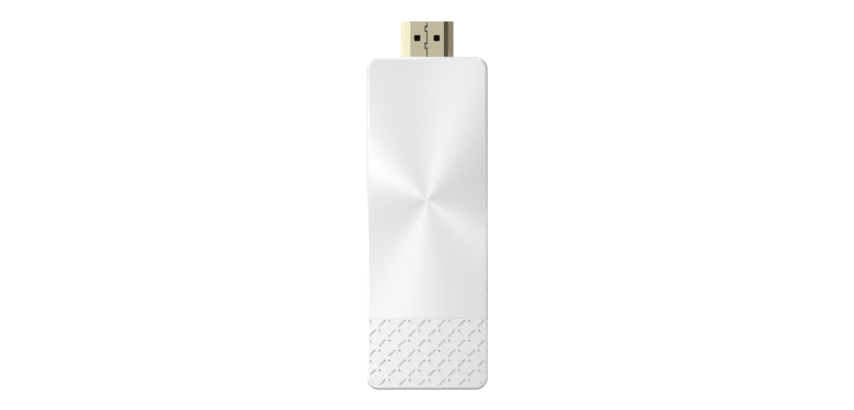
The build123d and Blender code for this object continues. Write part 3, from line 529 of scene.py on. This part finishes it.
@dataclass(frozen=True)
class TinnedCeramic(Finish):
    """Fired ceramic blocks in rows across the board, each with tinned ends."""

    ceramic: str = "#A07D55"
    fired_shade: str = "#8C6A45"
    tin: str = "#C9C8C4"
    row_y_mm: float = 0.0
    row_pitch_mm: float = 2.2
    bare_length_mm: float = 1.0
    grit_mm: float = 0.15
    roughness: float = 0.4

    def surface(self, tree: bpy.types.NodeTree) -> bpy.types.NodeSocket:
        """Add the blocks' nodes to a tree.

        Args:
            tree: The empty node tree of the material.

        Returns:
            The shader's output.
        """
        place = place_on_piece(tree)
        parts = add_node(tree, "ShaderNodeSeparateXYZ", {0: place})
        from_row = add_node(
            tree,
            "ShaderNodeMath",
            {0: parts.outputs["Y"], 1: self.row_y_mm * MILLIMETRE},
            operation="SUBTRACT",
        )
        from_middle = add_node(
            tree,
            "ShaderNodeMath",
            {0: from_row.outputs["Value"], 1: self.row_pitch_mm / 2 * MILLIMETRE},
            operation="PINGPONG",
        )
        tinned = add_node(
            tree,
            "ShaderNodeMath",
            {0: from_middle.outputs["Value"], 1: self.bare_length_mm / 2 * MILLIMETRE},
            operation="GREATER_THAN",
        )
        grit = add_node(
            tree,
            "ShaderNodeTexNoise",
            {"Vector": place, "Scale": per_metre(self.grit_mm), "Detail": FINE_DETAIL},
        )
        fired = add_node(
            tree,
            "ShaderNodeMix",
            {
                MIX_FACTOR: grit.outputs["Fac"],
                MIX_COLOUR_A: linear(self.fired_shade),
                MIX_COLOUR_B: linear(self.ceramic),
            },
            data_type="RGBA",
        )
        tint = add_node(
            tree,
            "ShaderNodeMix",
            {
                MIX_FACTOR: tinned.outputs["Value"],
                MIX_COLOUR_A: fired.outputs[MIX_COLOUR_OUT],
                MIX_COLOUR_B: linear(self.tin),
            },
            data_type="RGBA",
        )
        shader = add_node(
            tree,
            "ShaderNodeBsdfPrincipled",
            {
                "Base Color": tint.outputs[MIX_COLOUR_OUT],
                "Metallic": tinned.outputs["Value"],
                "Roughness": self.roughness,
            },
        )
        return shader.outputs["BSDF"]


@dataclass(frozen=True)
class ClearMoulding(Finish):
    """A clear, colourless plastic that light is led through."""

    colour: str
    roughness: float
    index: float
    clearness: float = 0.85
    flow_mm: float = 0.8
    relief_mm: float = 0.002
    relief_strength: float = 0.3

    def surface(self, tree: bpy.types.NodeTree) -> bpy.types.NodeSocket:
        """Add the clear plastic's nodes to a tree.

        Args:
            tree: The empty node tree of the material.

        Returns:
            The shader's output.
        """
        flow = add_node(
            tree,
            "ShaderNodeTexNoise",
            {"Vector": place_on_piece(tree), "Scale": per_metre(self.flow_mm)},
        )
        relief = add_node(
            tree,
            "ShaderNodeBump",
            {
                "Strength": self.relief_strength,
                "Distance": self.relief_mm * MILLIMETRE,
                "Height": flow.outputs["Fac"],
            },
        )
        shader = add_node(
            tree,
            "ShaderNodeBsdfPrincipled",
            {
                "Base Color": linear(self.colour),
                "Roughness": self.roughness,
                "IOR": self.index,
                "Transmission Weight": self.clearness,
                "Normal": relief.outputs["Normal"],
            },
        )
        return shader.outputs["BSDF"]


# Moulded from a finely eroded tool: satin white, with no gloss of its own but a soft sheen.
WHITE_ABS = Moulded(
    "abs_moulded_white", "#F3F3F3", "#F0F0F0", roughness=0.42, index=1.54
)

# Turned aluminium under pearl lacquer: the fan of light is the turning, the white the lacquer.
# The turning marks are drawn as coarse as they need to be to show.
SPUN_WHITE = SpunLacquer(
    "aluminium_spun_pearl_lacquer",
    "#F0F0F1",
    "#EDEDEF",
    metallic=0.34,
    roughness=0.6,
    anisotropy=0.85,
    turning_mm=0.5,
    relief_mm=0.0006,
    centre=(0.0, 0.00114),
)

# Rolled sheet with a pale gold flash: it mirrors the studio softly, streaked along the plug.
GOLD_FLASHED_SHEET = SheetMetal(
    "steel_rolled_gold_flash",
    "#E8E3C8",
    "#E3DDC1",
    roughness=0.22,
    grain=Grain.ROLLED,
)

# Hard gold over spring metal: a small deep-yellow mirror.
HARD_GOLD = SheetMetal("bronze_hard_gold_plated", "#E8BE63", "#DDB057", roughness=0.2)

# Glass-filled and matt, so that the windows over it look like black holes.
BLACK_LCP = Moulded(
    "lcp_moulded_black", "#060606", "#040404", roughness=0.7, gloss=0.1
)

# Bright nickel on stamped steel: a cool grey mirror with soft press marks.
NICKEL_PLATE = SheetMetal("steel_nickel_plated", "#BDBBB6", "#B0AEA9", roughness=0.28)

# Bare spring steel, rolled thin: darker and sharper than the plated sheets.
SPRING_STEEL = SheetMetal(
    "steel_spring_rolled", "#A9ABAD", "#9C9EA1", roughness=0.22, grain=Grain.ROLLED
)

# Rolled aluminium sheet, left bare: pale, with marks along the rolling direction.
ROLLED_ALUMINIUM = SheetMetal(
    "aluminium_rolled_bare", "#D6D7D9", "#C8C9CC", roughness=0.38, grain=Grain.ROLLED
)

# Pressure-sensitive film: milky and faintly yellow at its cut edge.
ACRYLIC_FILM = Moulded(
    "acrylic_adhesive_film", "#D9D6CC", "#D2CFC4", roughness=0.3, index=1.47
)

# Epoxy packed with silica: nearly black, dull, with a fine sparkle of filler.
CHIP_EPOXY = Moulded(
    "epoxy_moulded_chip", "#262627", "#1E1E1F", roughness=0.6, grit_mm=0.12, cloud_mm=3.0
)

# Pressed and sintered iron powder: charcoal, with a coarse grit.
SINTERED_FERRITE = Moulded(
    "ferrite_sintered", "#3A3A3D", "#2C2C2F", roughness=0.7, grit_mm=0.2, cloud_mm=1.5
)

# Silicone filled with ceramic powder: soft grey-blue and quite dull.
FILLED_SILICONE = Moulded(
    "silicone_filled_pad",
    "#8FA3B5",
    "#8397A9",
    roughness=0.85,
    index=1.43,
    grit_mm=0.2,
    relief_mm=0.01,
)

# Unfilled acetal: slippery and a little waxy, whiter than ivory.
WHITE_ACETAL = Moulded(
    "acetal_moulded_white", "#E4E4DF", "#DDDDD7", roughness=0.35, index=1.48
)

# Cast resin over phosphor: the unlit lamp is a creamy yellow.
LAMP_RESIN = Moulded("silicone_cast_phosphor", "#EFE6B4", "#E8DDA2", roughness=0.25)

# Polished acrylic: the guide is clear, so it shows what is behind it.
CLEAR_ACRYLIC = ClearMoulding("acrylic_moulded_clear", "#F4F6F7", roughness=0.08, index=1.49)


class LampKind(Enum):
    """How a lamp throws its light."""

    SOFTBOX = "AREA"
    SPOT = "SPOT"


@dataclass(frozen=True)
class Lamp:
    """A lamp that hangs at a bearing seen from above, anticlockwise from the right.

    Its level is the share of white that it would give to a white surface at the dongle, were it
    small and aimed there.
    """

    name: str
    kind: LampKind
    bearing: float
    height_angle: float
    distance: float
    size: float
    level: float
    aim: tuple[float, float] = (0.0, 0.0)
    cone: float = 30.0
    cone_blend: float = 1.0
    lights_matt: bool = True
    shows_in_mirrors: bool = True

    def power(self) -> float:
        """The lamp's power in watts, from its level, its distance and its slant."""
        lit = self.level * math.pi * self.distance**2 / math.sin(math.radians(self.height_angle))
        return lit * (ALL_ROUND if self.kind is LampKind.SPOT else COSINE_LOBE)

    def build(self, target: Vector) -> None:
        """Hang the lamp and turn it to where it aims.

        Args:
            target: The point from which its bearing and height are measured.
        """
        bearing, rise = math.radians(self.bearing), math.radians(self.height_angle)
        away = Vector(
            (
                math.cos(bearing) * math.cos(rise),
                math.sin(bearing) * math.cos(rise),
                math.sin(rise),
            )
        )
        data = bpy.data.lights.new(self.name, self.kind.value)
        if self.kind is LampKind.SPOT:
            data.shadow_soft_size = self.size / 2
            data.spot_size = math.radians(self.cone)
            data.spot_blend = self.cone_blend
        else:
            data.size = self.size
        data.energy = self.power()
        lamp = bpy.data.objects.new(self.name, data)
        lamp.visible_diffuse = self.lights_matt
        lamp.visible_glossy = self.shows_in_mirrors
        lamp.location = target + away * self.distance
        aim = target + Vector((*self.aim, 0.0))
        lamp.rotation_mode = "QUATERNION"
        lamp.rotation_quaternion = (lamp.location - aim).to_track_quat("Z", "Y")
        bpy.context.scene.collection.objects.link(lamp)
        LOG.info("%s is hung", self.name)


def seen_share(tree: bpy.types.NodeTree) -> bpy.types.NodeSocket:
    """Add a value that is one for the camera, mirrors and clear plastic, and nought for matt light.

    Args:
        tree: The node tree that gets the nodes.

    Returns:
        The value's output.
    """
    rays = add_node(tree, "ShaderNodeLightPath")
    seen = rays.outputs["Is Camera Ray"]
    for ray in ("Is Glossy Ray", "Is Transmission Ray"):
        seen = add_node(
            tree,
            "ShaderNodeMath",
            {0: seen, 1: rays.outputs[ray]},
            operation="ADD",
            use_clamp=True,
        ).outputs["Value"]
    return seen


@dataclass(frozen=True)
class PaperSweep(Finish):
    """Matt white paper, lit to white for the camera, mirrors and clear plastic.

    It is clear from below, so that the back of what lies on it can be looked at.
    """

    colour: str
    glow: float
    bounce: float

    def surface(self, tree: bpy.types.NodeTree) -> bpy.types.NodeSocket:
        """Add the paper's nodes to a tree.

        Args:
            tree: The empty node tree of the material.

        Returns:
            The shader's output.
        """
        glow = add_node(
            tree,
            "ShaderNodeMix",
            {
                MIX_FACTOR: seen_share(tree),
                MIX_VALUE_A: self.bounce,
                MIX_VALUE_B: self.glow,
            },
            data_type="FLOAT",
        )
        shine = add_node(tree, "ShaderNodeEmission", {"Strength": glow.outputs[MIX_VALUE_OUT]})
        paint = add_node(tree, "ShaderNodeBsdfDiffuse", {"Color": linear(self.colour)})
        both = add_node(
            tree,
            "ShaderNodeAddShader",
            {0: shine.outputs["Emission"], 1: paint.outputs["BSDF"]},
        )
        side = add_node(tree, "ShaderNodeNewGeometry")
        clear = add_node(tree, "ShaderNodeBsdfTransparent")
        sheet = add_node(
            tree,
            "ShaderNodeMixShader",
            {0: side.outputs["Backfacing"], 1: both.outputs["Shader"], 2: clear.outputs["BSDF"]},
        )
        return sheet.outputs["Shader"]


@dataclass(frozen=True)
class PaperCard(Finish):
    """A card of one tone, seen at just that tone."""

    colour: str

    def surface(self, tree: bpy.types.NodeTree) -> bpy.types.NodeSocket:
        """Add the card's node to a tree and return the shader's output."""
        shine = add_node(tree, "ShaderNodeEmission", {"Color": linear(self.colour)})
        return shine.outputs["Emission"]


@dataclass
class Studio:
    """The floor, lamps, sky and camera around the dongle."""

    # The floor lies a little below the back, and reaches furthest past the plug.
    floor_size: float = 4.0
    floor_ahead: float = 1.0
    floor_drop: float = 0.0003
    floor_colour: str = "#6C6C6C"
    floor_glow: float = 1.0
    floor_bounce: float = 0.5
    # The camera matches the photograph's scale and middle.
    lens_mm: float = 200.0
    sensor_mm: float = 36.0
    pixels_per_mm: float = 3.842
    view_middle_y: float = 0.000026
    clip_end: float = 10.0
    # The sky lights matt surfaces at its level and is seen at its glow.
    sky_colour: str = "#FFFFFF"
    sky_level: float = 0.552
    sky_glow: float = 1.0
    # Two cards hang side by side: from card_left to card_near, and from there to card_far.
    card_overhead_colour: str = "#D1CDC9"
    card_right_colour: str = "#948F8C"
    card_height: float = 0.5
    card_left: float = -0.15
    card_near: float = 0.22
    card_far: float = 2.0
    # The flag stands past the tail, as wide as its reach to both sides.
    flag_colour: str = "#000000"
    flag_reach: float = 0.12
    flag_y: float = -0.085
    flag_height: float = 0.045
    # The third card lies on the floor, where the plug's right slant mirrors it.
    floor_card_colour: str = "#48423B"
    floor_card_lift: float = 0.0002
    floor_card_near: float = 0.0105
    floor_card_far: float = 0.25
    floor_card_tail: float = -0.06
    floor_card_nose: float = 0.09
    lamps: tuple[Lamp, ...] = (
        # Lights the covers from the upper left, low enough to shade the lattice's grooves.
        Lamp(
            "key_lamp",
            LampKind.SPOT,
            bearing=137,
            height_angle=38,
            distance=0.7,
            size=0.05,
            level=0.77,
            aim=(-0.15, 0.02),
            shows_in_mirrors=False,
        ),
        # Lifts the right rim, and the sides of the grooves that face right.
        Lamp(
            "right_fill",
            LampKind.SOFTBOX,
            bearing=0,
            height_angle=15,
            distance=0.5,
            size=0.2,
            level=0.038,
            shows_in_mirrors=False,
        ),
        # Makes the fan's lobes to the upper left and the lower right.
        Lamp(
            "left_glint",
            LampKind.SPOT,
            bearing=147,
            height_angle=45,
            distance=0.7,
            size=0.12,
            level=0.7,
            aim=(-0.15, 0.0),
            lights_matt=False,
        ),
        # Makes the fan's two upright lobes, from past the plug.
        Lamp(
            "plug_glint",
            LampKind.SOFTBOX,
            bearing=74,
            height_angle=45,
            distance=0.6,
            size=0.12,
            level=0.3,
            lights_matt=False,
        ),
    )

    def build(self) -> None:
        """Set up the whole studio."""
        self.build_floor()
        self.build_cards()
        self.build_flag()
        self.build_sky()
        for lamp in self.lamps:
            lamp.build(Vector((0.0, 0.0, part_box("fascia_panel")[1].z)))
        self.build_camera()
        bpy.context.scene.view_settings.view_transform = "Standard"

    @staticmethod
    def plate(name: str, low: Vector, high: Vector) -> bpy.types.Object:
        """Make a flat plate with two edges along X.

        Args:
            name: The plate's name.
            low: Its corner with the lowest X, Y and Z.
            high: Its corner with the highest X, Y and Z.

        Returns:
            The plate, marked as part of the stage.
        """
        mesh = bpy.data.meshes.new(name)
        corners = [
            (low.x, low.y, low.z),
            (high.x, low.y, low.z),
            (high.x, high.y, high.z),
            (low.x, high.y, high.z),
        ]
        mesh.from_pydata(corners, [], [(0, 1, 2, 3)])
        plate = bpy.data.objects.new(name, mesh)
        bpy.context.scene.collection.objects.link(plate)
        return plate

    @staticmethod
    def hide(plate: bpy.types.Object, *rays: str) -> None:
        """Hide a plate from the kinds of ray that are named, such as "camera"."""
        for ray in rays:
            setattr(plate, f"visible_{ray}", False)

    def build_floor(self) -> None:
        """Lay the white floor, which mirrors see as white and which keeps the dongle's shadow."""
        half, drop = self.floor_size / 2, self.floor_drop
        # It reaches further past the plug, so that the seam between its two triangles runs
        # clear of the dongle.
        far = half + self.floor_ahead
        floor = self.plate("floor", Vector((-half, -half, -drop)), Vector((half, far, -drop)))
        paper = PaperSweep(
            "paper_matt_white", self.floor_colour, self.floor_glow, self.floor_bounce
        )
        floor.data.materials.append(paper.material())

    def build_cards(self) -> None:
        """Hang the cards that give the plug its tones, which only mirrors see."""
        near, far, high = self.card_near, self.card_far, self.card_height
        tail, nose = self.floor_card_tail, self.floor_card_nose
        lift = self.floor_card_lift
        for name, low, top, colour in (
            (
                "card_overhead",
                (self.card_left, -far, high),
                (near, far, high),
                self.card_overhead_colour,
            ),
            ("card_right", (near, -far, high), (far, far, high), self.card_right_colour),
            (
                "card_on_floor",
                (self.floor_card_near, tail, lift),
                (self.floor_card_far, nose, lift),
                self.floor_card_colour,
            ),
        ):
            card = self.plate(name, Vector(low), Vector(top))
            self.hide(card, "camera", "diffuse", "shadow", "transmission")
            card.data.materials.append(PaperCard(name, colour).material())

    def build_flag(self) -> None:
        """Stand a black flag past the tail, which keeps the sky's light off the tail's edge."""
        flag = self.plate(
            "flag_past_tail",
            Vector((-self.flag_reach, self.flag_y, 0.0)),
            Vector((self.flag_reach, self.flag_y, self.flag_height)),
        )
        self.hide(flag, "camera", "glossy", "shadow", "transmission")
        flag.data.materials.append(PaperCard("paper_matt_black", self.flag_colour).material())

    def build_sky(self) -> None:
        """Surround the dongle with an even pale sky, seen as white but lighting less than that."""
        world = bpy.data.worlds.new("studio_sky")
        bpy.context.scene.world = world
        world.use_nodes = True
        tree = world.node_tree
        tree.nodes.clear()
        strength = add_node(
            tree,
            "ShaderNodeMix",
            {
                MIX_FACTOR: seen_share(tree),
                MIX_VALUE_A: self.sky_level,
                MIX_VALUE_B: self.sky_glow,
            },
            data_type="FLOAT",
        )
        glow = add_node(
            tree,
            "ShaderNodeBackground",
            {
                "Color": linear(self.sky_colour),
                "Strength": strength.outputs[MIX_VALUE_OUT],
            },
        )
        add_node(tree, "ShaderNodeOutputWorld", {"Surface": glow.outputs["Background"]})

    def build_camera(self) -> None:
        """Set the camera straight above the dongle, at the photograph's scale."""
        view_width = PHOTO_WIDTH / self.pixels_per_mm * MILLIMETRE
        distance = view_width * self.lens_mm / self.sensor_mm
        front_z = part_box("fascia_panel")[1].z
        data = bpy.data.cameras.new("camera")
        data.lens = self.lens_mm
        data.sensor_width = self.sensor_mm
        data.clip_end = self.clip_end
        camera = bpy.data.objects.new("camera", data)
        camera.location = (0.0, self.view_middle_y, front_z + distance)
        bpy.context.scene.collection.objects.link(camera)
        bpy.context.scene.camera = camera


@dataclass
class Housing:
    """The two moulded covers."""

    shell: Moulded = WHITE_ABS

    def build(self) -> None:
        """Dress the covers."""
        dress(self.shell, "front_cover", "back_cover")


@dataclass
class Fascia:
    """The spun cap over the front and the film that holds it."""

    cap: SpunLacquer = SPUN_WHITE
    film: Moulded = ACRYLIC_FILM

    def build(self) -> None:
        """Dress the cap and its film."""
        dress(self.cap, "fascia_panel")
        dress(self.film, "fascia_adhesive")


@dataclass
class VideoPlug:
    """The folded shell, its insulator and its contacts."""

    shell: SheetMetal = GOLD_FLASHED_SHEET
    insulator: Moulded = BLACK_LCP
    contacts: SheetMetal = HARD_GOLD

    def build(self) -> None:
        """Dress the plug."""
        dress(self.shell, "plug_shell")
        dress(self.insulator, "plug_insulator")
        dress(self.contacts, "plug_contacts")


@dataclass
class PowerInlet:
    """The socket at the tail: its shell, insulator and contacts."""

    shell: SheetMetal = NICKEL_PLATE
    insulator: Moulded = BLACK_LCP
    contacts: SheetMetal = HARD_GOLD

    def build(self) -> None:
        """Dress the inlet."""
        dress(self.shell, "inlet_shell")
        dress(self.insulator, "inlet_insulator")
        dress(self.contacts, "inlet_contacts")


@dataclass
class BoardStack:
    """The main board, what is soldered to it, and its screws."""

    board: CircuitLaminate = CircuitLaminate("glass_fibre_green_mask")
    chips: Moulded = CHIP_EPOXY
    coils: Moulded = SINTERED_FERRITE
    can: SheetMetal = NICKEL_PLATE
    capacitor_row_pitch_mm: float = 2.2

    def build(self) -> None:
        """Dress the board and its parts."""
        dress(self.board, "main_board")
        dress(self.chips, "memory_chips", "flash_chip", "surge_chips", "regulators")
        dress(self.coils, "power_coils")
        dress(self.can, "crystal", "board_screws")
        low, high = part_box("capacitors")
        middle_mm = (low.y + high.y) / 2 / MILLIMETRE
        ends = TinnedCeramic(
            "ceramic_fired_tinned_ends",
            row_y_mm=middle_mm + self.capacitor_row_pitch_mm / 2,
            row_pitch_mm=self.capacitor_row_pitch_mm,
        )
        dress(ends, "capacitors")


@dataclass
class HeatPath:
    """The processor, the can over it, and what leads its heat to the front."""

    processor: Moulded = CHIP_EPOXY
    can: SheetMetal = NICKEL_PLATE
    pads: Moulded = FILLED_SILICONE
    spreader: SheetMetal = ROLLED_ALUMINIUM

    def build(self) -> None:
        """Dress the processor, its can, the pads and the spreader."""
        dress(self.processor, "processor")
        dress(self.can, "shield_frame", "shield_lid")
        dress(self.pads, "processor_pad", "spreader_pad")
        dress(self.spreader, "heat_spreader")


@dataclass
class RadioModule:
    """The wireless module under the board, with its pad and its aerials."""

    board: CircuitLaminate = CircuitLaminate(
        "glass_fibre_black_mask", mask="#1B1D1F", over_track="#26292C"
    )
    chip: Moulded = CHIP_EPOXY
    can: SheetMetal = NICKEL_PLATE
    pad: Moulded = FILLED_SILICONE

    def build(self) -> None:
        """Dress the module and the aerials."""
        dress(self.board, "radio_board")
        dress(self.chip, "radio_chip")
        dress(self.can, "radio_shield", "aerials")
        dress(self.pad, "radio_pad")


@dataclass
class ModeSwitch:
    """The button on the side and the switch that it presses."""

    button: Moulded = WHITE_ABS
    plunger: Moulded = WHITE_ACETAL
    body: Moulded = BLACK_LCP
    frame_sheet: SheetMetal = NICKEL_PLATE
    dome: SheetMetal = SPRING_STEEL

    def build(self) -> None:
        """Dress the button and the switch."""
        dress(self.button, "mode_button")
        dress(self.plunger, "switch_plunger")
        dress(self.body, "switch_body")
        dress(self.frame_sheet, "switch_frame")
        dress(self.dome, "switch_dome")


@dataclass
class StatusLight:
    """The lamp on the board and the clear guide that shows it at the side."""

    lamp: Moulded = LAMP_RESIN
    guide: ClearMoulding = CLEAR_ACRYLIC

    def build(self) -> None:
        """Dress the lamp and its guide."""
        dress(self.lamp, "status_lamp")
        dress(self.guide, "light_guide")


def main() -> None:
    """Build the dongle's looks, piece by piece."""
    logging.basicConfig(level=logging.INFO, format="%(message)s")
    Studio().build()
    for assembly in (
        Housing(),
        Fascia(),
        VideoPlug(),
        PowerInlet(),
        BoardStack(),
        HeatPath(),
        RadioModule(),
        ModeSwitch(),
        StatusLight(),
    ):
        assembly.build()


if __name__ == "__main__":
    main()
